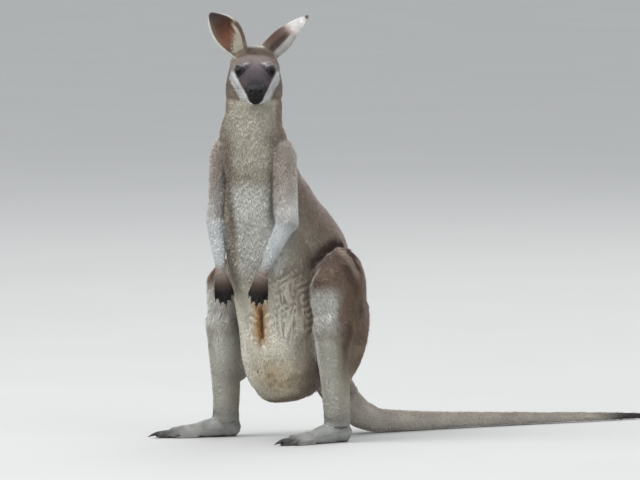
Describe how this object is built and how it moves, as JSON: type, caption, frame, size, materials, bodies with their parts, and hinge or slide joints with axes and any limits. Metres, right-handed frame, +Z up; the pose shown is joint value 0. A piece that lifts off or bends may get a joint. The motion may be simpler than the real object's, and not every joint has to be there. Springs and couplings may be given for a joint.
{
  "type": "whiptail wallaby",
  "caption": "Still, life-size whiptail wallaby, an adult female with a full pouch, standing upright on its hind feet and tail with its head turned aside.",
  "frame": {"origin": "middle of the bounding box's underside, at floor level", "axes": "+Z up, the pelvis and pouch face -Y, the tail runs back to +Y, the animal's own left is +X"},
  "size_m": [0.3792, 1.0378, 0.8368],
  "materials": {
    "head_coat": "short dense brown fur with white cheek stripes, matt",
    "neck_coat": "short grey-brown fur, pale at the throat, matt",
    "body_coat": "short brown-grey fur, pale buff on the chest and pouch, matt",
    "limb_coat": "very short pale grey-buff fur, matt",
    "tail_coat": "short pale grey fur, matt",
    "hand_coat": "very short dark brown fur, matt",
    "ear_coat": "thin fur over skin, brown inside with white edges, matt",
    "eye_gloss": "near-black, wet gloss",
    "claw_horn": "near-black horn, satin"
  },
  "bodies": {
    "root": {"head": "head_coat", "neck": "neck_coat", "trunk": "body_coat", "tail_base": "tail_coat", "tail_middle": "tail_coat", "tail_end": "tail_coat", "tail_tip": "tail_coat", "ear_l": "ear_coat", "ear_r": "ear_coat", "eye_l": "eye_gloss", "eye_r": "eye_gloss", "upper_arm_l": "body_coat", "upper_arm_r": "body_coat", "forearm_l": "limb_coat", "forearm_r": "limb_coat", "hand_l": "hand_coat", "hand_r": "hand_coat", "thigh_l": "body_coat", "thigh_r": "body_coat", "shin_l": "limb_coat", "shin_r": "limb_coat", "foot_l": "limb_coat", "foot_r": "limb_coat", "claw_foot_l_fourth": "claw_horn", "claw_foot_l_fifth": "claw_horn", "claw_foot_l_third": "claw_horn", "claw_foot_l_second": "claw_horn", "claw_foot_r_fourth": "claw_horn", "claw_foot_r_fifth": "claw_horn", "claw_foot_r_third": "claw_horn", "claw_foot_r_second": "claw_horn", "claw_hand_l_fifth": "claw_horn", "claw_hand_l_fourth": "claw_horn", "claw_hand_l_third": "claw_horn", "claw_hand_l_second": "claw_horn", "claw_hand_l_first": "claw_horn", "claw_hand_r_fifth": "claw_horn", "claw_hand_r_fourth": "claw_horn", "claw_hand_r_third": "claw_horn", "claw_hand_r_second": "claw_horn", "claw_hand_r_first": "claw_horn"}
  },
  "joints": []
}
